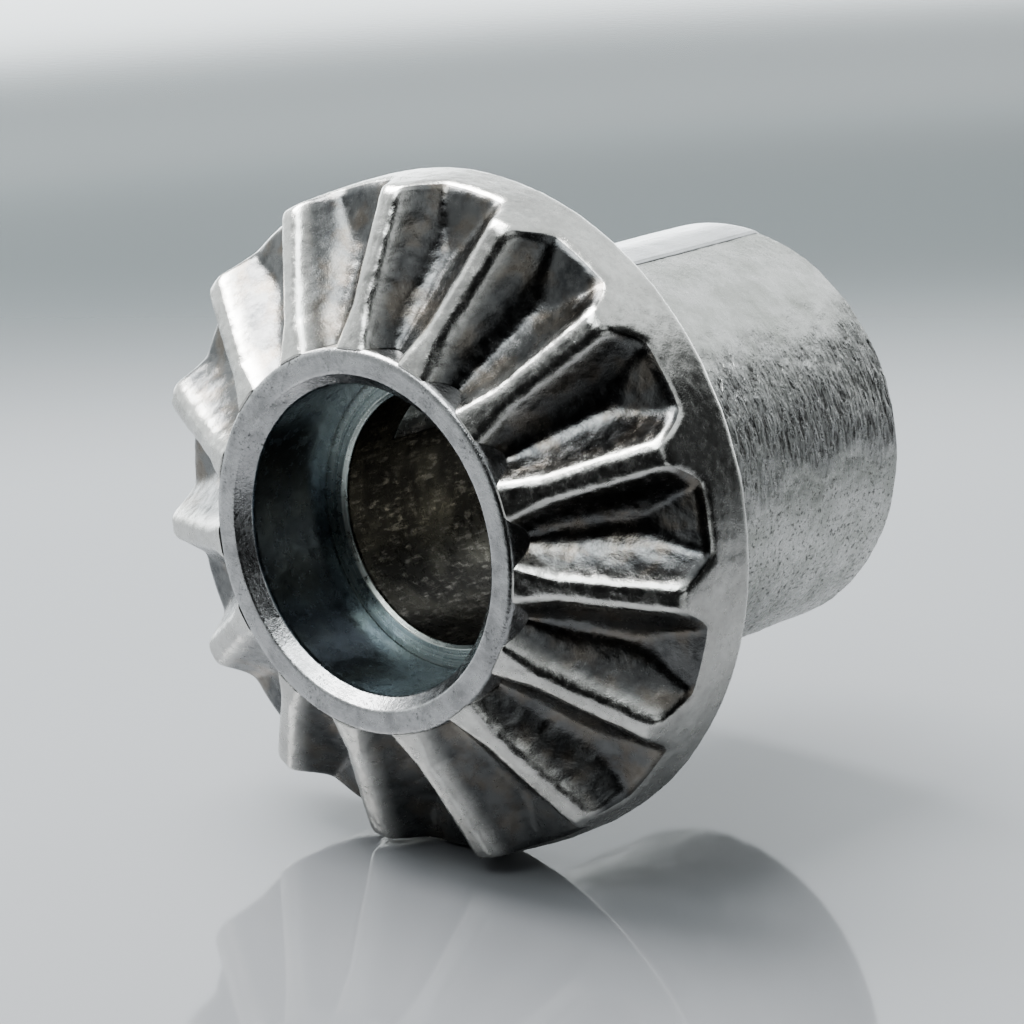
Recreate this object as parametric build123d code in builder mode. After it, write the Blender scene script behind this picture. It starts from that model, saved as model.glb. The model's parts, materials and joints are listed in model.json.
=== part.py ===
from build123d import *
import os
from math import sin, tan, radians

# A straight bevel gear with a long tubular hub, in millimetres. Its axis is +Y, from the toothed
# mouth at the front (-Y) to the end of the hub, and +Z is up. The origin is the centre of the
# hub's end face, which is the face that such a gear's mounting distance is measured from.
# Distances named "..._from_mouth" run along the axis from the front plane of the mouth.

# Driving dimensions: the gear as a whole
gear_length = 36.8
tooth_count = 15
first_tooth_clock = 91.8  # clock angle of one tooth, from +Z towards +X

# Toothed head
rim_radius = 21.0
crown_radius = 20.65  # outer end of the tooth crests
crown_from_mouth = 4.6
toe_from_mouth = 0.1  # crests where they meet the hub's spigot
web_radius = 20.8  # where the wall that closes the tooth gaps meets the outside
web_from_mouth = 7.1
web_foot_radius = 17.5  # where the gap floor meets that wall
web_foot_from_mouth = 6.1
floor_toe_from_mouth = 1.85  # gap floor where it meets the spigot
rim_edge_from_mouth = 9.4
head_from_mouth = 10.9  # back face of the head
back_chamfer = 0.3
flank_angle = 34.3  # each flank of a gap, from the gear's axis
toe_half_gap = 1.95  # half the gap's width between crests, at the spigot
crown_half_gap = 3.7  # the same, at the crown

# Hub sleeve: a spigot through the head, and the tube behind it
spigot_radius = 11.8
spigot_edge = 0.2
hub_radius = 13.4
hub_edge = 0.4
mouth_radius = 10.3  # outer edge of the mouth's chamfer
mouth_chamfer_length = 0.9
counterbore_radius = 9.5

# Bore bush, pressed into the sleeve from behind, up to the lip that the counterbore leaves
seat_radius = 10.0
bush_bore_radius = 8.0
bush_from_mouth = 7.5
bush_edge = 0.25

# Driving slot through the walls of the bush and the sleeve, open at the hub's end
slot_width = 12.4
slot_from_mouth = 11.6
slot_clock = -18.6

# Hub key: a smooth block that closes the slot in the sleeve, and stands a little proud of it
key_radius = 13.52
key_foot_radius = 10.8

# Planes and lengths that follow from them
mouth_y = -gear_length
back_y = mouth_y + head_from_mouth
bush_y = mouth_y + bush_from_mouth
slot_y = mouth_y + slot_from_mouth
toe_radius = spigot_radius
floor_slope = (web_foot_from_mouth - floor_toe_from_mouth) / (web_foot_radius - toe_radius)
crest_slope = (crown_from_mouth - toe_from_mouth) / (crown_radius - toe_radius)
half_gap_slope = (crown_half_gap - toe_half_gap) / (crown_radius - toe_radius)
web_slope = (web_from_mouth - web_foot_from_mouth) / (web_radius - web_foot_radius)
slot_length = -slot_y
clear = 1.5  # how far a cutting shape runs past what it cuts


def slot_bar(reach_radius, mode=Mode.ADD):
    """Draw the slot's section: a bar of its width, from the axis out to a radius."""
    Rectangle(reach_radius, slot_width, rotation=slot_clock, align=(Align.MIN, Align.CENTER), mode=mode)


def gap_section(radius):
    """Draw a tooth gap's section at a distance from the axis: a V whose foot is rounded."""
    outwards = radius - toe_radius
    crest_y = mouth_y + toe_from_mouth + crest_slope * outwards
    floor_y = mouth_y + floor_toe_from_mouth + floor_slope * outwards
    half_gap = toe_half_gap + half_gap_slope * outwards
    slope = tan(radians(flank_angle))
    foot_y = crest_y + half_gap / slope
    foot_radius = (foot_y - floor_y) / (1 / sin(radians(flank_angle)) - 1)
    top_y = crest_y - 2 * clear
    top_half = half_gap + 2 * clear * slope
    with BuildSketch(Plane.XY.offset(radius)) as section:
        with BuildLine():
            Polyline((0, foot_y), (top_half, top_y), (-top_half, top_y), close=True)
        make_face()
        fillet(section.vertices().sort_by(Axis.Y)[-1], radius=foot_radius)
    return section.sketch


# One tooth gap, at the top of the gear: the V section grows from the spigot to the crown,
# and the web's conical face stops it at the back.
with BuildPart() as tooth_gap:
    loft([gap_section(toe_radius - clear), gap_section(rim_radius + clear)], ruled=True)
    reach = rim_radius + 4 * clear
    web_at_axis = mouth_y + web_foot_from_mouth - web_slope * web_foot_radius
    web_at_reach = web_at_axis + web_slope * reach
    front_y = mouth_y - 4 * clear
    with BuildSketch(Plane.YZ):
        with BuildLine():
            Polyline((front_y, 0), (front_y, reach), (web_at_reach, reach), (web_at_axis, 0), close=True)
        make_face()
    revolve(axis=Axis.Y, mode=Mode.INTERSECT)

# Toothed head: crest cone, crown, flared outer band and rim, with a gap between each two teeth
with BuildPart() as gear_head:
    with BuildSketch(Plane.YZ):
        with BuildLine():
            Polyline(
                (mouth_y + toe_from_mouth, spigot_radius),
                (mouth_y + crown_from_mouth, crown_radius),
                (mouth_y + web_from_mouth, web_radius),
                (mouth_y + rim_edge_from_mouth, rim_radius),
                (back_y - back_chamfer, rim_radius),
                (back_y, rim_radius - back_chamfer),
                (back_y, spigot_radius),
                close=True,
            )
        make_face()
    revolve(axis=Axis.Y)
    pitch_angle = 360 / tooth_count
    first_gap_clock = first_tooth_clock + pitch_angle / 2
    for number in range(tooth_count):
        gap_clock = first_gap_clock + number * pitch_angle
        add(tooth_gap.part, rotation=(0, gap_clock, 0), mode=Mode.SUBTRACT)

# Hub sleeve: turned spigot and mouth, straight bore, rough tube with the driving slot in its wall
with BuildPart() as hub_sleeve:
    with BuildSketch(Plane.YZ):
        with BuildLine():
            Polyline(
                (mouth_y, mouth_radius),
                (mouth_y, spigot_radius - spigot_edge),
                (mouth_y + spigot_edge, spigot_radius),
                (back_y, spigot_radius),
                (back_y, hub_radius),
                (-hub_edge, hub_radius),
                (0, hub_radius - hub_edge),
                (0, seat_radius),
                (bush_y, seat_radius),
                (bush_y, counterbore_radius),
                (mouth_y + mouth_chamfer_length, counterbore_radius),
                close=True,
            )
        make_face()
    revolve(axis=Axis.Y)
    with BuildSketch(Plane.ZX.offset(slot_y)):
        slot_bar(hub_radius + clear)
    extrude(amount=slot_length, mode=Mode.SUBTRACT)

# Bore bush: a plain bush with a wide driving slot, open at the hub's end and closed at the front
with BuildPart() as bore_bush:
    with BuildSketch(Plane.ZX.offset(bush_y)):
        Circle(seat_radius)
        Circle(bush_bore_radius, mode=Mode.SUBTRACT)
    extrude(amount=-bush_y)
    front_circles = bore_bush.edges().filter_by(GeomType.CIRCLE).group_by(Axis.Y)[0]
    chamfer(front_circles.sort_by(SortBy.RADIUS)[0], length=bush_edge)
    with BuildSketch(Plane.ZX.offset(slot_y)):
        slot_bar(seat_radius + clear)
    extrude(amount=slot_length, mode=Mode.SUBTRACT)

# Hub key: flat inside, round outside, with its rear edge broken to meet the hub's own chamfer
with BuildPart() as hub_key:
    with BuildSketch(Plane.ZX.offset(slot_y)):
        slot_bar(key_radius + clear)
        Circle(key_radius, mode=Mode.INTERSECT)
        slot_bar(key_foot_radius, mode=Mode.SUBTRACT)
    extrude(amount=slot_length)
    chamfer(
        hub_key.edges().filter_by(GeomType.CIRCLE).sort_by(Axis.Y)[-1],
        length=hub_edge + key_radius - hub_radius,
    )

gear_head.part.label = "gear_head"
hub_sleeve.part.label = "hub_sleeve"
bore_bush.part.label = "bore_bush"
hub_key.part.label = "hub_key"

os.makedirs("parts", exist_ok=True)
export_step(gear_head.part, "parts/gear_head.step")
export_step(hub_sleeve.part, "parts/hub_sleeve.step")
export_step(bore_bush.part, "parts/bore_bush.step")
export_step(hub_key.part, "parts/hub_key.step")
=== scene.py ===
import json
from math import asin, atan, cos, pi, radians, sin

import bpy
import numpy as np
from mathutils import Matrix, Vector, noise


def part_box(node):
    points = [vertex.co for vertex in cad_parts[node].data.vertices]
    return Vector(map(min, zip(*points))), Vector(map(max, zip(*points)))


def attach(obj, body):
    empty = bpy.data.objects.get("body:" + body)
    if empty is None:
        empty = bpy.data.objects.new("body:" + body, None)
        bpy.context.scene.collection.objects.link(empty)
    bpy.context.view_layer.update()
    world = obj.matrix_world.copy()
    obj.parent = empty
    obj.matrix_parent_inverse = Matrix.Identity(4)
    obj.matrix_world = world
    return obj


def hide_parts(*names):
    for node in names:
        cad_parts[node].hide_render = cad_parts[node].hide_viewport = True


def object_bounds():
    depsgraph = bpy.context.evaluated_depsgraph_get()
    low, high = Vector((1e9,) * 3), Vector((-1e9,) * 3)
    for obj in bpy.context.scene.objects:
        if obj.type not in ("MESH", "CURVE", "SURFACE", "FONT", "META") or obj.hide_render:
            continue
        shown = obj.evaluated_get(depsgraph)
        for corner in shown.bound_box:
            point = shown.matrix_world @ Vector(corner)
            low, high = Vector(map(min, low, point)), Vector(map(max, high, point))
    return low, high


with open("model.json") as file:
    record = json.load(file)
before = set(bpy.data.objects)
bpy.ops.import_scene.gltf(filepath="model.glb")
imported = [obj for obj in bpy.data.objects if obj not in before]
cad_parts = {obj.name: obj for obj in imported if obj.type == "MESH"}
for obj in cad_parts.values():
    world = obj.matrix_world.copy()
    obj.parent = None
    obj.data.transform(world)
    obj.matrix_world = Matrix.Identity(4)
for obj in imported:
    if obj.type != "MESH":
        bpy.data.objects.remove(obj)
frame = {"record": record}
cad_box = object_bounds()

# Lengths are in millimetres until a mesh is made, and "from the mouth" is along the gear's axis.
MM = 0.001

# The gear as a whole, as the frame gives it
MOUTH_Y = cad_box[0].y / MM
RIM = cad_box[1].x / MM
MOUNTS = {mount["name"]: mount for mount in frame["record"]["mounts"]}
BORE = MOUNTS["shaft_bore"]["dims"]["r_mm"]
COUNTERBORE = MOUNTS["counterbore"]["dims"]["r_mm"]
HUB_END = -MOUTH_Y
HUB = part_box("hub_sleeve")[1].x / MM

# The toothed head: radii, and distances from the mouth
TOOTH_COUNT = 15
PITCH = radians(360 / TOOTH_COUNT)
FIRST_TOOTH = radians(91.8)  # clock angle, from +Z towards +X
FIRST_GAP = FIRST_TOOTH + PITCH / 2
SPIGOT = 11.8
CREST_TOE = 0.1  # the crests where they meet the spigot
CROWN = 20.65  # the outer end of the crests
CREST_CROWN = 4.6
FLOOR_TOE = 1.85  # the floor of a gap where it meets the spigot
WEB_FOOT = 17.5  # where the floor meets the web, the wall that closes the gap
FLOOR_WEB = 6.1
WEB_TOP = 20.8
WEB_TOP_AT = 7.1
RIM_EDGE_AT = 9.4
HEAD_BACK = 10.9
TOE_HALF_GAP = 1.95  # half the width of a gap between crests, at the spigot and at the crown
CROWN_HALF_GAP = 3.7
TOE_CORNER_HALF_GAP = 1.4  # the same at the spigot, with the gap's corner cut over a length
TOE_CORNER = 2.0
GAP_SHAPE = 1.8  # the power of the gap's section: 1 is a V and 2 a parabola

# Widths over which the head's edges are rounded
CREST_EDGE = 0.5
LIP_EDGE = 0.75  # the crest edge further out, where the web meets the outside
LIP_FROM, LIP_FULL = 5.0, 6.5
CROWN_EDGE = 0.6
BAND_EDGE = 0.5
RIM_EDGE = 0.3
BACK_EDGE = 0.7
WEB_FILLET = 0.3

# The sleeve, its slot, the bush and the key
MOUTH_CHAMFER = 10.3
MOUTH_CHAMFER_DEPTH = 0.9
SHOULDER_AT = 7.5
SEAT = 10.0
SLOT_AT = 11.6
SLOT_HALF = 6.2
SLOT_CLOCK = radians(-18.6)
KEY_TOP = 13.52
KEY_FOOT = 10.8
HUB_CHAMFER = 0.4
SMALL_EDGE = 0.25
OVERLAP = 0.05  # how far hidden faces run into the next piece
TINY = 1e-6  # allows for rounding where two places are compared
SLOT_COLUMNS = 0.18  # the share of a ring's columns that the slot takes

# Clock angles in degrees, from +Z towards +X, where the hub's skin is rippled and painted darker as a
# painted reflection of the dark room, and where it is pitted: where each stretch starts, is at its
# fullest, fades and ends
RIPPLED_WITH_PAINTED_REFLECTION = [(48, 66, 78, 88), (-170, -150, -120, -100)]
PITTED = [(72, 90, 150, 180), (-110, -90, -50, -30)]


def line(x0, y0, x1, y1):
    """The straight line through two points, as a function."""
    slope = (y1 - y0) / (x1 - x0)
    return lambda x: y0 + slope * (x - x0)


crest_at = line(SPIGOT, CREST_TOE, CROWN, CREST_CROWN)
floor_at = line(SPIGOT, FLOOR_TOE, WEB_FOOT, FLOOR_WEB)
web_at = line(WEB_FOOT, FLOOR_WEB, WEB_TOP, WEB_TOP_AT)
gap_side = line(SPIGOT, TOE_HALF_GAP, CROWN, CROWN_HALF_GAP)
toe_corner = line(SPIGOT, TOE_CORNER_HALF_GAP, SPIGOT + TOE_CORNER, gap_side(SPIGOT + TOE_CORNER))
crown_side = line(CREST_CROWN, CROWN, WEB_TOP_AT, WEB_TOP)
band_side = line(WEB_TOP_AT, WEB_TOP, RIM_EDGE_AT, RIM)

# A distance along the axis, times one of these, is the distance square to the cone of the crests or
# of the web
crest_cosine = cos(atan(crest_at(1) - crest_at(0)))
web_cosine = cos(atan(web_at(1) - web_at(0)))


def smooth_max(a, b, width):
    """The larger of two distances, blended over a width where they are close."""
    share = np.clip(0.5 + 0.5 * (a - b) / width, 0, 1)
    return b + (a - b) * share + width * share * (1 - share)


def half_gap(along):
    """Half the width of a tooth gap at the crests, with its corners cut at the toe."""
    return np.minimum(gap_side(along), toe_corner(along))


def outer_radius(at):
    """The head's outside: the tooth ends, the flared band and the rim."""
    return np.minimum(np.maximum(crown_side(at), band_side(at)), RIM)


def gap_floor(along, across):
    """How far behind the mouth a tooth gap's surface is, and its steepness across the gap."""
    half = half_gap(along)
    depth = floor_at(along) - crest_at(along)
    share = np.abs(across) / half
    steepness = GAP_SHAPE * depth / half * share ** (GAP_SHAPE - 1)
    return floor_at(along) - depth * share**GAP_SHAPE, steepness


def gap_place(clock):
    """The angle from the middle of the nearest tooth gap."""
    return (clock - FIRST_GAP + PITCH / 2) % PITCH - PITCH / 2


def head_distance(points):
    """How far points are outside the toothed head, whose edges are all rounded."""
    x, y, z = points.T
    radius = np.hypot(x, z)
    off = gap_place(np.arctan2(x, z))
    at = y - MOUTH_Y
    crest = (crest_at(radius) - at) * crest_cosine
    side = radius - smooth_max(crown_side(at), band_side(at), BAND_EDGE)
    body = smooth_max(crest, side, CROWN_EDGE)
    body = smooth_max(body, radius - RIM, RIM_EDGE)
    body = smooth_max(body, at - HEAD_BACK, BACK_EDGE)
    floor, steepness = gap_floor(radius * np.cos(off), radius * np.sin(off))
    gap = (at - floor) / np.hypot(1, steepness)
    gap = smooth_max(gap, (at - web_at(radius)) * web_cosine, WEB_FILLET)
    lip = np.clip((at - LIP_FROM) / (LIP_FULL - LIP_FROM), 0, 1)
    return smooth_max(body, -gap, CREST_EDGE + (LIP_EDGE - CREST_EDGE) * lip)


def gradient(distance, points, step=0.01):
    """How a distance changes along each axis at each point."""
    parts = []
    for axis in np.eye(3) * step:
        parts.append((distance(points + axis) - distance(points - axis)) / (2 * step))
    return np.stack(parts, -1)


def settle(points, distance, rounds=5):
    """Move points onto the surface where the distance is nothing. Returns them and its normals."""
    for _ in range(rounds):
        slope = gradient(distance, points)
        points = points - slope * (distance(points) / (slope**2).sum(-1))[:, None]
    slope = gradient(distance, points)
    return points, slope / np.linalg.norm(slope, axis=-1)[:, None]


def fractal(points, size, detail=4, offset=0.0):
    """Fractal noise at each point, with features of about a size. It is nothing on average."""
    shift = Vector((offset, offset * 0.7, -offset))
    fading, step = 0.8, 2.1  # each octave is finer by the step, and weaker by the step**fading
    return np.array([noise.fractal(Vector(p) / size + shift, fading, step, detail) for p in points])


def pits(points, spacing, radius, share):
    """Round pits, from 0 at their edges to 1 in the middle, in a share of the cells of a spacing."""
    depth = np.zeros(len(points))
    pick, vary = 7.31, 3.17  # a cell's centre times one number picks it, and times the other sizes it
    for number, point in enumerate(points):
        distances, centres = noise.voronoi(Vector(point) / spacing)
        if noise.cell(centres[0] * pick) < share:
            size = radius * (0.5 + noise.cell(centres[0] * vary))
            near = distances[0] * spacing / max(size, 0.01)
            if near < 1:
                depth[number] = (1 - near * near) ** 2
    return depth


def window(value, start, full, fading, end):
    """A share that is 1 from full to fading, and falls to nothing at the start and the end."""
    return np.interp(value, [start, full, fading, end], [0.0, 1.0, 1.0, 0.0])


def on_axis(radius, at, clock):
    """Points at a radius, a distance from the mouth and a clock angle from +Z towards +X."""
    radius, at, clock = np.broadcast_arrays(radius, at, clock)
    return np.stack([radius * np.sin(clock), MOUTH_Y + at, radius * np.cos(clock)], -1)


def move_out(points, move):
    """Points moved away from the axis, each by its own distance."""
    scale = 1 + move / np.hypot(points[:, 0], points[:, 2])
    return points * np.stack([scale, np.ones(len(points)), scale], -1)


def ring_quads(rows, columns):
    """The faces of a grid that closes on itself both ways, as [row, column, corner]."""
    row, column = np.meshgrid(np.arange(rows), np.arange(columns), indexing="ij")
    next_row, next_column = (row + 1) % rows, (column + 1) % columns
    corners = [(row, column), (row, next_column), (next_row, next_column), (next_row, column)]
    return np.stack([r * columns + c for r, c in corners], -1)


def mesh_piece(name, points, faces, materials, face_material=None, attributes=None):
    """A smooth-shaded piece from points in millimetres, without those that no face uses."""
    used = np.unique(np.concatenate([np.asarray(face).ravel() for face in faces]))
    place = np.full(len(points), -1)
    place[used] = np.arange(len(used))
    faces = [place[np.asarray(face)].tolist() for face in faces]
    mesh = bpy.data.meshes.new(name)
    mesh.from_pydata((points[used] * MM).tolist(), [], faces)
    mesh.polygons.foreach_set("use_smooth", [True] * len(mesh.polygons))
    for material in materials:
        mesh.materials.append(material)
    if face_material is not None:
        mesh.polygons.foreach_set("material_index", face_material)
    for key, values in (attributes or {}).items():
        layer = mesh.attributes.new(key, "FLOAT", "POINT")
        layer.data.foreach_set("value", values[used].astype(np.float32))
    mesh.update()
    piece = bpy.data.objects.new(name, mesh)
    bpy.context.scene.collection.objects.link(piece)
    return piece


# --- Materials -----------------------------------------------------------------------------------


class Shader:
    """A material's node tree, with short ways to add and join nodes."""

    def __init__(self, name):
        self.material = bpy.data.materials.new(name)
        self.material.use_nodes = True
        self.tree = self.material.node_tree
        self.tree.nodes.clear()
        self.output = self.tree.nodes.new("ShaderNodeOutputMaterial")
        self.surface = self.tree.nodes.new("ShaderNodeBsdfPrincipled")
        self.tree.links.new(self.surface.outputs["BSDF"], self.output.inputs["Surface"])
        coordinates = self.tree.nodes.new("ShaderNodeTexCoord")
        self.place = self.maths("MULTIPLY", coordinates.outputs["Object"], (1 / MM,) * 3, vector=True)

    def put(self, socket, value):
        """Set a socket, or link it if the value is another node's output."""
        if isinstance(value, bpy.types.NodeSocket):
            self.tree.links.new(value, socket)
        elif value is not None:
            socket.default_value = value

    def maths(self, operation, *values, vector=False):
        """A sum or another operation on numbers, or on vectors."""
        node = self.tree.nodes.new("ShaderNodeVectorMath" if vector else "ShaderNodeMath")
        node.operation = operation
        for socket, value in zip(node.inputs, values):
            self.put(socket, value)
        return node.outputs[0]

    def noise(self, size, detail=3.0, roughness=0.55, place=None, distortion=0.0):
        """Noise from 0 to 1 whose features are about a size in millimetres."""
        node = self.tree.nodes.new("ShaderNodeTexNoise")
        self.put(node.inputs["Vector"], place or self.place)
        self.put(node.inputs["Scale"], 1 / size)
        self.put(node.inputs["Detail"], detail)
        self.put(node.inputs["Roughness"], roughness)
        self.put(node.inputs["Distortion"], distortion)
        return node.outputs[0]

    def remap(self, value, low, high, to_low=0.0, to_high=1.0):
        """A value eased from one range to another."""
        node = self.tree.nodes.new("ShaderNodeMapRange")
        node.interpolation_type = "SMOOTHSTEP"
        for socket, number in zip(node.inputs, (value, low, high, to_low, to_high)):
            self.put(socket, number)
        return node.outputs[0]

    def mix(self, share, a, b):
        """A colour between a and b."""
        node = self.tree.nodes.new("ShaderNodeMix")
        node.data_type = "RGBA"
        sockets = [s for s in node.inputs if s.enabled]
        for socket, value in zip(sockets, (share, a, b)):
            self.put(socket, value)
        return next(s for s in node.outputs if s.enabled)

    def attribute(self, name):
        """A number kept at the mesh's points."""
        node = self.tree.nodes.new("ShaderNodeAttribute")
        node.attribute_name = name
        return node.outputs["Fac"]

    def bump(self, height, depth, normal=None):
        """A bump whose height of 1 is a depth in millimetres."""
        node = self.tree.nodes.new("ShaderNodeBump")
        self.put(node.inputs["Height"], height)
        self.put(node.inputs["Distance"], depth * MM)
        self.put(node.inputs["Normal"], normal)
        return node.outputs[0]

    def cylinder_place(self, around=1.0, along=1.0, out=1.0):
        """Coordinates that follow the axis: the clock angle in radians, y and the radius, each scaled."""
        split = self.tree.nodes.new("ShaderNodeSeparateXYZ")
        self.put(split.inputs[0], self.place)
        x, y, z = split.outputs
        clock = self.maths("ARCTAN2", x, z)
        squares = self.maths("ADD", self.maths("MULTIPLY", x, x), self.maths("MULTIPLY", z, z))
        radius = self.maths("SQRT", squares)
        join = self.tree.nodes.new("ShaderNodeCombineXYZ")
        for socket, value, scale in zip(join.inputs, (clock, y, radius), (around, along, out)):
            self.put(socket, self.maths("MULTIPLY", value, scale))
        return join.outputs[0]

    def finish(self, colour, roughness, normal, metallic=1.0):
        """Join the results to the surface. Returns the material."""
        self.put(self.surface.inputs["Base Color"], colour)
        self.put(self.surface.inputs["Roughness"], roughness)
        self.put(self.surface.inputs["Metallic"], metallic)
        self.put(self.surface.inputs["Normal"], normal)
        return self.material


def grey(value, warm=0.0):
    """A grey, warmer or cooler by a small share."""
    return (value * (1 + warm), value, value * (1 - warm), 1.0)


def formed_steel():
    """The head: worn steel, light on the crests, and darker down in the gaps, where the darkening with
    depth is partly brown oxide and partly painted shade.
    """
    s = Shader("formed_steel")
    patches = s.remap(s.noise(3.0, 4), 0.35, 0.7)
    fine = s.remap(s.noise(0.45, 5, 0.7), 0.38, 0.72)
    light = s.mix(patches, (0.745, 0.735, 0.70, 1.0), (0.585, 0.575, 0.545, 1.0))
    light = s.mix(s.maths("MULTIPLY", fine, 0.3), light, grey(0.34, 0.02))
    brown = (0.19, 0.17, 0.148, 1.0)
    # Down in the gaps: a near-black painted shade, with brown oxide in patches
    dark = s.mix(s.remap(s.noise(2.2, 3), 0.45, 0.65), grey(0.09, -0.04), brown)
    depth = s.remap(s.attribute("depth"), 0.1, 0.8)
    # Patches where the gaps' painted shade and oxide are a little weaker
    patchy_shade_and_oxide = s.remap(s.noise(1.1, 5, 0.65), 0.4, 0.7, 0.82, 1.0)
    # Painted shade and oxide, fuller the deeper a point lies below the crests
    colour = s.mix(s.maths("MULTIPLY", depth, patchy_shade_and_oxide), light, dark)
    specks = s.remap(s.noise(0.12, 3, 0.7), 0.6, 0.68)
    flecks = s.maths("MULTIPLY", specks, s.remap(s.noise(1.6, 3), 0.5, 0.62))
    colour = s.mix(s.maths("MULTIPLY", flecks, 0.55), colour, grey(0.1, 0.03))
    rough = s.remap(s.noise(0.7, 5, 0.7), 0.3, 0.7, 0.15, 0.3)
    grain = s.bump(s.noise(0.16, 4, 0.7), 0.014)
    normal = s.bump(s.noise(0.9, 4, 0.55), 0.028, grain)
    return s.finish(colour, rough, normal)


def cast_skin():
    """The hub's outside: light and lightly scratched, with bands of ripples and of irregular pits. The
    rippled bands are painted darker as a painted reflection of the dark room.
    """
    s = Shader("cast_skin")
    ripples_and_painted_reflection_share, pit_share = s.attribute("ripple"), s.attribute("pitted")
    patches = s.remap(s.noise(2.4, 5, 0.6), 0.35, 0.68)
    colour = s.mix(patches, (0.72, 0.715, 0.69, 1.0), (0.54, 0.545, 0.51, 1.0))
    round_the_hub = s.cylinder_place(around=8.0, along=2.3, out=0.5)
    straight = s.maths("MULTIPLY", s.place, (0.35,) * 3, vector=True)
    warped = s.maths("ADD", round_the_hub, straight, vector=True)
    ripples = s.noise(1.0, 3, 0.55, place=warped, distortion=0.6)
    hollow = s.maths("MULTIPLY", s.remap(ripples, 0.50, 0.38), ripples_and_painted_reflection_share)
    grit = s.noise(0.26, 4, 0.68)
    holes = s.maths("MULTIPLY", s.remap(grit, 0.43, 0.36), pit_share)
    # Painted reflection of the dark room: the rippled bands are painted darker
    colour = s.mix(s.maths("MULTIPLY", ripples_and_painted_reflection_share, 0.55), colour, grey(0.3))
    # Darker in the ripples' troughs and in the pits
    darker_hollows_and_pits = s.maths("MAXIMUM", s.maths("MULTIPLY", hollow, 0.8), s.maths("MULTIPLY", holes, 0.9))
    colour = s.mix(darker_hollows_and_pits, colour, grey(0.1, 0.05))
    scratches = s.noise(1.0, 3, 0.6, place=s.cylinder_place(around=3.5, along=5.0, out=1.0))
    rough = s.remap(s.noise(0.5, 5, 0.7), 0.3, 0.7, 0.2, 0.36)
    normal = s.bump(s.noise(0.8, 4, 0.6), 0.06, s.bump(s.noise(0.2, 4, 0.7), 0.016))
    normal = s.bump(scratches, 0.03, normal)
    normal = s.bump(s.maths("MULTIPLY", ripples, ripples_and_painted_reflection_share), 0.5, normal)
    normal = s.bump(s.maths("SUBTRACT", 0.0, holes), 0.09, normal)
    return s.finish(colour, rough, normal)


def turned_steel():
    """The mouth and the counterbore: turned steel, grained outside and smooth inside, where painted shade
    and a painted blue-grey reflection darken it.
    """
    s = Shader("turned_steel")
    marks = s.noise(1.0, 4, 0.6, place=s.cylinder_place(around=0.4, along=9.0, out=9.0))
    patches = s.remap(s.noise(1.5, 5, 0.65), 0.4, 0.7)
    inside = s.attribute("inside")
    colour = s.mix(patches, grey(0.56), grey(0.36))
    specks = s.remap(s.noise(0.2, 4, 0.7), 0.55, 0.62)
    flecks = s.maths("MULTIPLY", specks, s.remap(s.noise(1.8, 3), 0.48, 0.6))
    colour = s.mix(s.maths("MULTIPLY", flecks, 0.8), colour, grey(0.06))
    # Inside the counterbore: painted shade and a painted reflection, a darker blue-grey
    blue_grey, pale_blue = (0.2, 0.235, 0.27, 1.0), (0.26, 0.3, 0.32, 1.0)
    smooth = s.mix(s.remap(s.noise(2.5, 3), 0.4, 0.65), blue_grey, pale_blue)
    colour = s.mix(inside, colour, smooth)
    rough = s.remap(s.noise(0.7, 4, 0.65), 0.3, 0.7, 0.16, 0.3)
    grain = s.bump(s.maths("MULTIPLY", s.noise(0.22, 4, 0.65), s.maths("SUBTRACT", 1.0, inside)), 0.03)
    normal = s.bump(marks, 0.006, grain)
    return s.finish(colour, rough, normal)


def dark_bush():
    """The bush: a turned end face with rings, and a bore painted brown-black as painted shade, with
    broken streaks along it.
    """
    s = Shader("dark_bush")
    rings = s.noise(1.0, 3, 0.6, place=s.cylinder_place(around=0.25, along=0.5, out=9.0))
    streaks = s.noise(1.0, 4, 0.7, place=s.cylinder_place(around=20.0, along=0.5, out=1.0))
    broken = s.remap(s.noise(0.9, 3, 0.6), 0.42, 0.62)
    bore = s.attribute("bore")
    # The bore's brown-black is painted shade, tinted brown
    dark_brown, light_brown = (0.1, 0.095, 0.085, 1.0), (0.21, 0.2, 0.17, 1.0)
    brown = s.mix(s.remap(s.noise(3.0, 3), 0.4, 0.65), dark_brown, light_brown)
    worn = s.maths("MULTIPLY", s.remap(streaks, 0.48, 0.62), broken)
    brown = s.mix(worn, brown, (0.5, 0.47, 0.42, 1.0))
    face = s.mix(s.remap(rings, 0.35, 0.7), (0.46, 0.50, 0.47, 1.0), (0.74, 0.77, 0.72, 1.0))
    # The bore gets the painted shade, and the end face its turned rings
    colour = s.mix(bore, face, brown)
    rough = s.remap(s.noise(0.6, 4, 0.6), 0.3, 0.7, 0.2, 0.38)
    face_only = s.maths("SUBTRACT", 1.0, bore)
    scored = s.bump(s.maths("MULTIPLY", streaks, bore), 0.03)
    normal = s.bump(s.maths("MULTIPLY", rings, face_only), 0.05, scored)
    return s.finish(colour, rough, normal)


def ground_steel():
    """The key: smooth bright steel with faint marks along it."""
    s = Shader("ground_steel")
    along = s.noise(1.0, 4, 0.6, place=s.cylinder_place(around=30.0, along=0.3, out=1.0))
    colour = s.mix(s.remap(s.noise(2.0, 4), 0.4, 0.7), grey(0.76), grey(0.66))
    rough = s.remap(along, 0.3, 0.7, 0.18, 0.3)
    normal = s.bump(along, 0.006, s.bump(s.noise(0.5, 3), 0.012))
    return s.finish(colour, rough, normal)


# --- Pieces --------------------------------------------------------------------------------------


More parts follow.
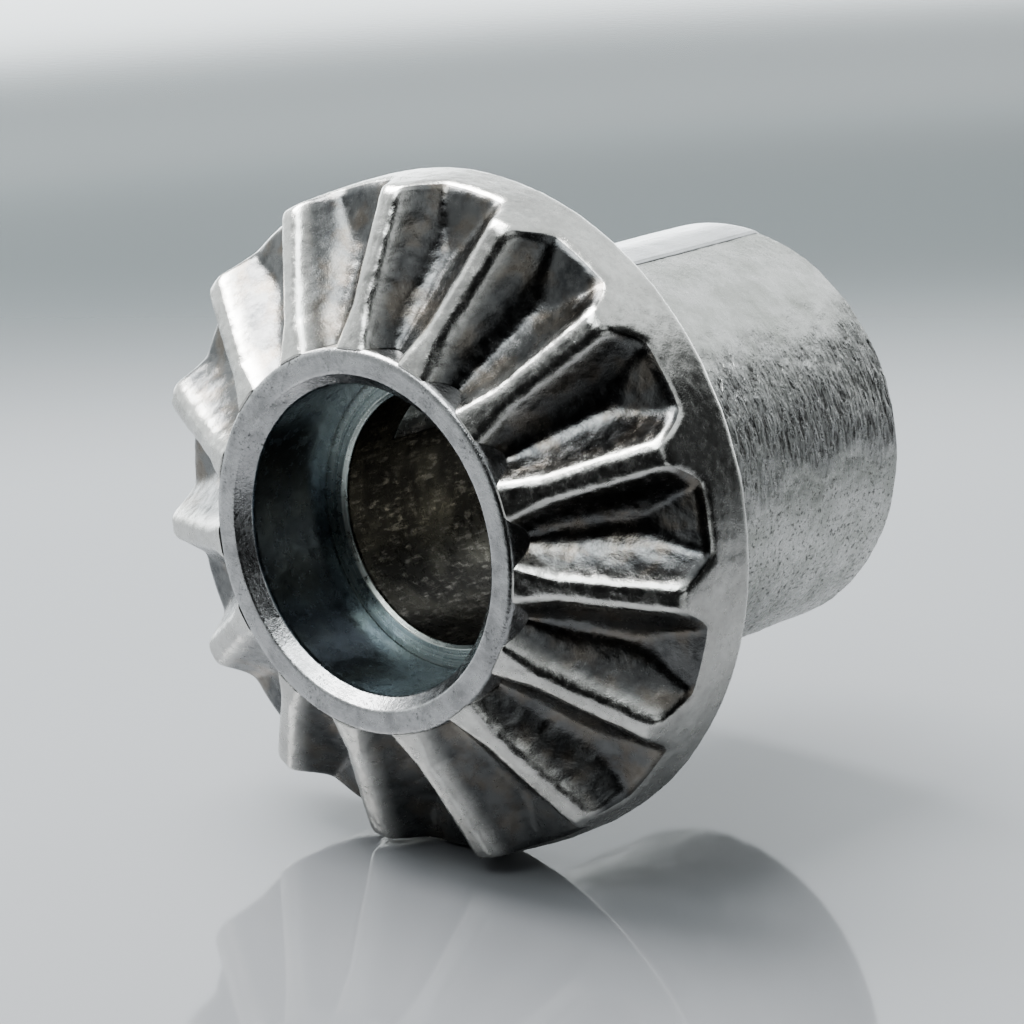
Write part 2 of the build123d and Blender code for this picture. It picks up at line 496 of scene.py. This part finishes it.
def build_head(material):
    """The toothed head: one closed grid whose columns follow the crest edges and the gap floors."""
    gap_steps, land_steps = 22, 6
    front_rows, band_rows, rim_rows, back_rows, inner_rows = 72, 26, 6, 12, 3
    inner = SPIGOT - OVERLAP
    full_depth = 1.6  # how far below the crests the gaps' painted shade and oxide are full
    lump, grain, sunk = 0.035, 0.026, 0.03  # how uneven the skin is, and how far it is set back

    # A column's share of the way from a gap's middle to its edge, denser at the edge, then of the
    # way over the land between two gaps
    to_edge = np.arange(gap_steps) / gap_steps
    to_edge = 1.3 * to_edge - 0.3 * to_edge**3
    over_land = np.arange(land_steps) / land_steps
    in_gap = np.concatenate([to_edge, np.ones(land_steps)])
    on_land = np.concatenate([np.zeros(gap_steps), over_land])
    half = len(in_gap)
    gap_share = np.concatenate([-in_gap[:0:-1], in_gap])
    land_share = np.concatenate([-on_land[:0:-1], on_land])
    gap_share = np.concatenate([[-1.0], gap_share])
    land_share = np.concatenate([[-1.0], land_share])
    columns = len(gap_share) * TOOTH_COUNT
    gap_share = np.tile(gap_share, TOOTH_COUNT)
    land_share = np.tile(land_share, TOOTH_COUNT)
    middle = FIRST_GAP + PITCH * np.repeat(np.arange(TOOTH_COUNT), 2 * half)

    def off_middle(radius):
        edge = np.arctan(half_gap(radius) / radius)
        return gap_share * edge + land_share * (PITCH / 2 - edge)

    def surface(radius):
        off = off_middle(radius)
        floor, _ = gap_floor(radius * np.cos(off), radius * np.sin(off))
        return np.maximum(crest_at(radius), np.minimum(floor, web_at(radius)))

    # The radius where each column leaves the front for the outside, found by turns from either
    end = np.full(columns, CROWN)
    for _ in range(4):
        end = outer_radius(surface(end))
    end_at = surface(end)

    radii, ats = [], []
    for share in np.linspace(0, 1, front_rows + 1):
        radii.append(inner + (end - inner) * share)
        ats.append(surface(radii[-1]))
    for share in np.linspace(0, 1, band_rows + 1)[1:]:
        ats.append(end_at + (RIM_EDGE_AT - end_at) * share)
        radii.append(outer_radius(ats[-1]))
    for share in np.linspace(0, 1, rim_rows + 1)[1:]:
        ats.append(np.full(columns, RIM_EDGE_AT + (HEAD_BACK - RIM_EDGE_AT) * share))
        radii.append(np.full(columns, RIM - 0.02))
    for share in np.linspace(0, 1, back_rows + 1)[1:]:
        ats.append(np.full(columns, HEAD_BACK))
        radii.append(np.full(columns, RIM + (inner - RIM) * share))
    shown = len(radii)
    for share in np.linspace(0, 1, inner_rows + 2)[1:-1]:
        ats.append(HEAD_BACK + (ats[0] - HEAD_BACK) * share)
        radii.append(np.full(columns, inner))
    radii, ats = np.array(radii), np.array(ats)
    points = on_axis(radii, ats, middle + np.array([off_middle(r) for r in radii]))

    flat = points[:shown].reshape(-1, 3)
    flat, normals = settle(flat, head_distance)
    radius = np.hypot(flat[:, 0], flat[:, 2])
    at = flat[:, 1] - MOUTH_Y
    # The depth below the crests in the gaps, which the head's material turns into painted shade and oxide
    below_crest = at - crest_at(radius)
    in_gap = (below_crest > 0) & (radius < WEB_TOP - 0.1) & (at < WEB_TOP_AT + 0.5)
    depth = np.where(in_gap, np.clip(below_crest / full_depth, 0, 1), 0.0)
    uneven = lump * fractal(flat, 3.5, 3) + grain * fractal(flat, 0.9, 3, offset=5.0)
    flat = flat + normals * (uneven - sunk)[:, None]
    everything = np.concatenate([flat, points[shown:].reshape(-1, 3)])
    all_depth = np.concatenate([depth, np.zeros(len(everything) - len(depth))])
    quads = ring_quads(len(radii), columns).reshape(-1, 4)
    attributes = {"depth": all_depth}
    return mesh_piece("gear_head_formed", everything, list(quads), [material], attributes=attributes)


def slotted_ring(name, profile, columns, materials, shape):
    """A turned ring with the driving slot cut through its wall.

    The profile is a closed list of (from the mouth, radius, steps to the next, material number). Its
    points from the slot's front end backwards are one stretch, which the slot cuts. The shape is a
    function that makes the points uneven, and returns them and the attributes of the mesh.
    """
    at, radius, number = [], [], []
    for (a0, r0, steps, which), (a1, r1, _, _) in zip(profile, profile[1:] + profile[:1]):
        for step in range(steps):
            share = step / steps
            at.append(a0 + (a1 - a0) * share)
            radius.append(r0 + (r1 - r0) * share)
            number.append(which)
    at, radius, number = np.array(at), np.array(radius), np.array(number)
    slot_columns = int(columns * SLOT_COLUMNS)
    wall = np.arcsin(SLOT_HALF / radius)
    share = np.arange(slot_columns) / slot_columns
    rest = np.arange(columns - slot_columns) / (columns - slot_columns)
    in_slot = -wall[:, None] + 2 * wall[:, None] * share
    beyond = wall[:, None] + (2 * pi - 2 * wall[:, None]) * rest
    clock = SLOT_CLOCK + np.concatenate([in_slot, beyond], 1)
    points = on_axis(radius[:, None], at[:, None], clock)
    points, attributes = shape(points, at, radius)
    rows = len(at)
    quads = ring_quads(rows, columns)
    slotted = np.flatnonzero(at >= SLOT_AT - TINY)
    first, last = slotted[0], slotted[-1]
    keep = np.ones((rows, columns), bool)
    keep[first:last, :slot_columns] = False
    faces = list(quads[keep])
    face_rows = np.repeat(np.arange(rows), columns).reshape(rows, columns)[keep]
    face_material = number[face_rows].tolist()
    chain = np.arange(first, last + 1) * columns
    arc = np.arange(slot_columns + 1)
    faces.append(chain)
    faces.append((chain + slot_columns)[::-1])
    faces.append(np.concatenate([(last * columns + arc), (first * columns + arc)[::-1]]))
    face_material += [int(number[last])] * 3
    return mesh_piece(name, points.reshape(-1, 3), faces, materials, face_material, attributes)


def build_sleeve(skin, turned):
    """The sleeve: a rough hub behind the head, a smooth spigot, mouth and counterbore in front."""
    skin_rows = 170
    slot_rows = int(skin_rows * (SLOT_AT - HEAD_BACK) / (HUB_END - HEAD_BACK)) + 1
    profile = [
        (HEAD_BACK, HUB, slot_rows, 0),
        (SLOT_AT, HUB, skin_rows - slot_rows, 0),
        (HUB_END - HUB_CHAMFER, HUB, 4, 0),
        (HUB_END, HUB - HUB_CHAMFER, 20, 1),
        (HUB_END, SEAT, 12, 1),
        (SLOT_AT, SEAT, 3, 1),
        (SHOULDER_AT, SEAT, 2, 1),
        (SHOULDER_AT, COUNTERBORE, 34, 1),
        (MOUTH_CHAMFER_DEPTH, COUNTERBORE, 9, 1),
        # The mouth's ring, with its inner edge broken and its outer edge rounded
        (0.03, MOUTH_CHAMFER - 0.02, 2, 1),
        (0.0, MOUTH_CHAMFER + 0.08, 8, 1),
        (0.0, SPIGOT - 0.42, 2, 1),
        (0.05, SPIGOT - 0.22, 2, 1),
        (0.16, SPIGOT - 0.07, 2, 1),
        (0.32, SPIGOT, 14, 1),
        (2.8, SPIGOT, 3, 1),
        (HEAD_BACK, SPIGOT, 3, 1),
    ]

    def shape(points, at, radius):
        flat = points.reshape(-1, 3)
        outside = np.repeat((radius > HUB - 0.6) & (at > HEAD_BACK), points.shape[1])
        mouth = np.repeat((at < SHOULDER_AT) & (radius < SPIGOT + 0.1), points.shape[1])
        move = np.zeros(len(flat))
        skin_points = flat[outside]
        wrinkles = fractal(skin_points, 1.4, 4)
        lumps = fractal(skin_points, 5.0, 2, offset=9.0)
        clock = np.degrees(np.arctan2(flat[:, 0], flat[:, 2])) + 14 * fractal(flat, 6.0, 3, offset=3.0)
        # The rippled stretches, which the skin's material also paints darker as a painted reflection
        ripple = sum(window(clock, *stretch) for stretch in RIPPLED_WITH_PAINTED_REFLECTION)
        pitted = sum(window(clock, *stretch) for stretch in PITTED)
        small = pits(skin_points, 0.7, 0.2, 0.45) * pitted[outside]
        move[outside] = 0.045 * wrinkles + 0.05 * lumps - 0.07 * small - 0.05
        mouth_points = flat[mouth]
        move[mouth] = 0.012 * fractal(mouth_points, 1.2, 3) - 0.01
        flat = move_out(flat, move)
        in_the_bore = (radius < COUNTERBORE + 0.02) & (at > MOUTH_CHAMFER_DEPTH - 0.1)
        inside = np.repeat(in_the_bore, points.shape[1]).astype(float)
        return flat.reshape(points.shape), {"ripple": ripple, "pitted": pitted, "inside": inside}

    return slotted_ring("hub_sleeve_cast", profile, 600, [skin, turned], shape)


def build_bush(material):
    """The bush in the sleeve: its end face is the shoulder, and its bore is the gear's."""
    outer = SEAT + OVERLAP
    face = SHOULDER_AT + 0.01  # a hair behind the lip that the sleeve's counterbore leaves
    profile = [
        (face, outer, 20, 0),
        (face, BORE + SMALL_EDGE, 4, 0),
        (SHOULDER_AT + SMALL_EDGE, BORE, 16, 0),
        (SLOT_AT, BORE, 90, 0),
        (HUB_END - SMALL_EDGE, BORE, 4, 0),
        (HUB_END, BORE + SMALL_EDGE, 8, 0),
        (HUB_END, outer, 6, 0),
        (SLOT_AT, outer, 2, 0),
    ]

    def shape(points, at, radius):
        flat = points.reshape(-1, 3)
        bore = np.repeat(radius < BORE + 0.02, points.shape[1]).astype(float)
        uneven = 0.01 * fractal(flat, 1.5, 3)
        flat = flat + flat * (1, 0, 1) * uneven[:, None] / BORE
        return flat.reshape(points.shape), {"bore": bore}

    return slotted_ring("bore_bush_turned", profile, 480, [material], shape)


def build_key(material):
    """The key: a bar with a round top, flat sides and foot, and a broken rear edge."""
    edge = 0.12
    top_steps, side_steps, foot_steps, rows = 70, 8, 24, 150
    corner = asin((SLOT_HALF - edge) / KEY_TOP)
    side_top = (KEY_TOP - edge) * cos(asin(SLOT_HALF / KEY_TOP))
    top = [(KEY_TOP * sin(a), KEY_TOP * cos(a)) for a in np.linspace(-corner, corner, top_steps)]
    right = [(SLOT_HALF, h) for h in np.linspace(side_top, KEY_FOOT, side_steps)]
    foot = [(x, KEY_FOOT) for x in np.linspace(SLOT_HALF, -SLOT_HALF, foot_steps)[1:-1]]
    left = [(-SLOT_HALF, h) for h in np.linspace(KEY_FOOT, side_top, side_steps)]
    section = np.array(top + right + foot + left)
    break_edge = HUB_CHAMFER + KEY_TOP - HUB
    rear = [HUB_END - 0.3 * break_edge, HUB_END]
    ats = np.concatenate([np.linspace(SLOT_AT, HUB_END - break_edge, rows), rear])
    lowered = np.concatenate([np.zeros(rows), [0.6 * break_edge, break_edge]])
    points = []
    for at, drop in zip(ats, lowered):
        high = np.hypot(section[:, 0], section[:, 1])
        scale = np.minimum(1.0, (KEY_TOP - drop) / high)
        across, up = section[:, 0], np.where(section[:, 1] > KEY_FOOT, section[:, 1] * scale, KEY_FOOT)
        x = across * cos(SLOT_CLOCK) + up * sin(SLOT_CLOCK)
        z = -across * sin(SLOT_CLOCK) + up * cos(SLOT_CLOCK)
        points.append(np.stack([x, np.full(len(x), MOUTH_Y + at), z], -1))
    points = np.array(points)
    rows, columns = points.shape[:2]
    flat = points.reshape(-1, 3)
    radius = np.hypot(flat[:, 0], flat[:, 2])
    uneven = np.where(radius > HUB - 0.5, 0.015 * fractal(flat, 2.5, 3) - 0.015, 0.0)
    flat = move_out(flat, uneven)
    quads = ring_quads(rows, columns)[:-1].reshape(-1, 4)
    caps = [np.arange(columns)[::-1], (rows - 1) * columns + np.arange(columns)]
    return mesh_piece("hub_key_ground", flat, list(quads) + caps, [material])


turned = turned_steel()
PIECES = [
    (build_head(formed_steel()), "gear_head", "formed_steel"),
    (build_sleeve(cast_skin(), turned), "hub_sleeve", "cast_skin"),
    (build_bush(dark_bush()), "bore_bush", "dark_bush"),
    (build_key(ground_steel()), "hub_key", "ground_steel"),
]
for piece, node, slot_name in PIECES:
    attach(piece, "root")
    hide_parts(node)


# --- Floor, backdrop, lights and camera ------------------------------------------------------------

VIEW_AZIMUTH = radians(40.01)
VIEW_ELEVATION = radians(15.83)
VIEW_AHEAD = Vector((-sin(VIEW_AZIMUTH), cos(VIEW_AZIMUTH), 0))
VIEW_RIGHT = Vector((cos(VIEW_AZIMUTH), sin(VIEW_AZIMUTH), 0))

# The camera's place from the mouth's centre, in rim radii, and its sensor and lens in millimetres
AWAY, TO_THE_RIGHT, ABOVE = 11.288, 0.4313, 0.0899
SENSOR, LENS = 36.0, 140.625

# The table's colours, from the near edge of the view to far behind the gear, and its edges in metres
NEAR_TABLE = (0.265, 0.27, 0.28, 1.0)
MIDDLE_TABLE = (0.235, 0.245, 0.255, 1.0)
FAR_TABLE = (0.10, 0.118, 0.122, 1.0)
TABLE_FRONT = -0.066
TABLE_REACH = 3.0
TABLE_HALF_WIDTH = 1.6

# The softbox: its direction in degrees, its distance and side in metres, and its power in watts
SOFTBOX_AZIMUTH, SOFTBOX_ELEVATION = -86, 61
SOFTBOX_DISTANCE, SOFTBOX_SIDE, SOFTBOX_POWER = 0.34, 0.24, 2.0

# The room's light in every direction, before the patches and the wall
ROOM_LIGHT = 0.95
ROOM_COLOUR = (0.93, 0.98, 1.0, 1.0)
# Patches of the room: azimuth and elevation of the middle, the angles from it where the patch starts
# and where it is full, and its light
ROOM_PATCHES = [
    (30, 90, 50, 15, 0.7),
    (-25, 15, 40, 15, 0.35),
    (42, 5, 62, 42, 0.01),
    (100, 10, 50, 30, 0.01),
    (142, 17, 27, 14, 0.03),
    (76, -12, 17, 6, 0.6),
    (68, 31, 17, 7, 0.7),
    (2, 59, 20, 9, 4.5),
]
# The wall behind the gear fills the directions that are near enough to straight ahead. Its bands
# tilt a little, and each is given by the heights, in a direction of length 1, where the change to
# the next one starts and ends, and by its own light
WALL_SIDE = (0.68, 0.9)
WALL_TILT = 0.074
WALL_BANDS = [
    (0.148, 0.157, 3.4),
    (0.166, 0.172, 0.5),
    (0.180, 0.190, 0.75),
    (0.215, 0.262, 0.4),
    (0.36, 0.62, 1.45),
]
ABOVE_THE_WALL = 0.0


def direction_to(azimuth, elevation):
    """The direction at an azimuth, from the front (-Y) towards +X, and an elevation, in degrees."""
    a, e = radians(azimuth), radians(elevation)
    return Vector((sin(a) * cos(e), -cos(a) * cos(e), sin(e)))


def table_part(name, front, back, material):
    """A flat part of the table, square to the view, between two distances ahead of the origin."""
    side = TABLE_HALF_WIDTH
    corners = [(-side, front, 0), (side, front, 0), (side, back, 0), (-side, back, 0)]
    mesh = bpy.data.meshes.new(name)
    mesh.from_pydata(corners, [], [(0, 1, 2, 3)])
    mesh.materials.append(material)
    part = bpy.data.objects.new(name, mesh)
    part.location = (0, 0, cad_box[0].z)
    part.rotation_euler = (0, 0, VIEW_AZIMUTH)
    bpy.context.scene.collection.objects.link(part)
    return part


def build_table():
    """A glossy pale table, which darkens behind the gear."""
    s = Shader("pale_table")
    split = s.tree.nodes.new("ShaderNodeSeparateXYZ")
    s.put(split.inputs[0], s.place)
    ahead = split.outputs[1]
    near = s.mix(s.remap(ahead, -60.0, 60.0), NEAR_TABLE, MIDDLE_TABLE)
    colour = s.mix(s.remap(ahead, 60.0, 150.0), near, FAR_TABLE)
    material = s.finish(colour, 0.06, s.bump(s.noise(1.4, 2), 0.001), metallic=0.0)
    table_part("table", TABLE_FRONT, TABLE_REACH, material)
    # The apron carries the table on in front, below the photograph's view. It is left out of
    # reflections, bounced light and shadows, because the real gear's front mirrors a dark room there.
    apron = table_part("table_apron", -TABLE_REACH, TABLE_FRONT, material)
    apron.visible_glossy = False
    apron.visible_diffuse = False
    apron.visible_shadow = False


def build_softbox():
    """The one lamp: a large square of soft light above the gear's left, aimed at its middle."""
    outwards = direction_to(SOFTBOX_AZIMUTH, SOFTBOX_ELEVATION)
    data = bpy.data.lights.new("softbox", "AREA")
    data.shape = "SQUARE"
    data.size = SOFTBOX_SIDE
    data.energy = SOFTBOX_POWER
    softbox = bpy.data.objects.new("softbox", data)
    softbox.location = (cad_box[0] + cad_box[1]) / 2 + outwards * SOFTBOX_DISTANCE
    softbox.rotation_euler = (-outwards).to_track_quat("-Z", "Y").to_euler()
    bpy.context.scene.collection.objects.link(softbox)


def build_room():
    """A pale room with dark patches in front, and a banded wall behind the gear."""
    world = bpy.data.worlds.new("room")
    world.use_nodes = True
    tree = world.node_tree
    tree.nodes.clear()

    def node(kind, *values, **settings):
        made = tree.nodes.new(kind)
        for key, value in settings.items():
            setattr(made, key, value)
        for socket, value in zip(made.inputs, values):
            if isinstance(value, bpy.types.NodeSocket):
                tree.links.new(value, socket)
            else:
                socket.default_value = value
        return made

    def maths(operation, a, b):
        return node("ShaderNodeMath", a, b, operation=operation).outputs[0]

    def along(a, b):
        return node("ShaderNodeVectorMath", a, b, operation="DOT_PRODUCT").outputs[1]

    def fade(value, low, high):
        faded = node("ShaderNodeMapRange", value, low, high, 0.0, 1.0, interpolation_type="SMOOTHSTEP")
        return faded.outputs[0]

    def cover(light, share, other):
        """The light, with a share of it replaced by another."""
        return maths("ADD", light, maths("MULTIPLY", share, maths("SUBTRACT", other, light)))

    direction = node("ShaderNodeTexCoord").outputs["Generated"]
    ahead = along(direction, VIEW_AHEAD)
    height = along(direction, Vector((0, 0, 1)) + WALL_TILT * VIEW_RIGHT)
    room = ROOM_LIGHT
    for azimuth, elevation, start, full, light in ROOM_PATCHES:
        nearness = along(direction, direction_to(azimuth, elevation))
        room = cover(room, fade(nearness, cos(radians(start)), cos(radians(full))), light)
    lights = [band[2] for band in WALL_BANDS] + [ABOVE_THE_WALL]
    wall = lights[0]
    for (low, high, light), above in zip(WALL_BANDS, lights[1:]):
        wall = maths("ADD", wall, maths("MULTIPLY", fade(height, low, high), above - light))
    strength = cover(room, fade(ahead, *WALL_SIDE), wall)
    background = node("ShaderNodeBackground", ROOM_COLOUR, strength)
    output = node("ShaderNodeOutputWorld")
    tree.links.new(background.outputs[0], output.inputs["Surface"])
    bpy.context.scene.world = world


def build_camera():
    """The photograph's view."""
    level, rise = cos(VIEW_ELEVATION), sin(VIEW_ELEVATION)
    up = rise * VIEW_AHEAD + Vector((0, 0, level))
    forward = level * VIEW_AHEAD - Vector((0, 0, rise))
    mouth = Vector((0, MOUTH_Y * MM, 0))
    data = bpy.data.cameras.new("camera")
    data.sensor_width = SENSOR
    data.lens = LENS
    data.clip_start, data.clip_end = 0.01, 20.0
    camera = bpy.data.objects.new("camera", data)
    camera.location = mouth - RIM * MM * (AWAY * forward - TO_THE_RIGHT * VIEW_RIGHT - ABOVE * up)
    camera.rotation_euler = Matrix((VIEW_RIGHT, up, -forward)).transposed().to_euler()
    bpy.context.scene.collection.objects.link(camera)
    bpy.context.scene.camera = camera


build_table()
build_room()
build_softbox()
build_camera()
view = bpy.context.scene.view_settings
view.view_transform = "AgX"
view.look = "AgX - Medium High Contrast"
view.exposure = 0.3
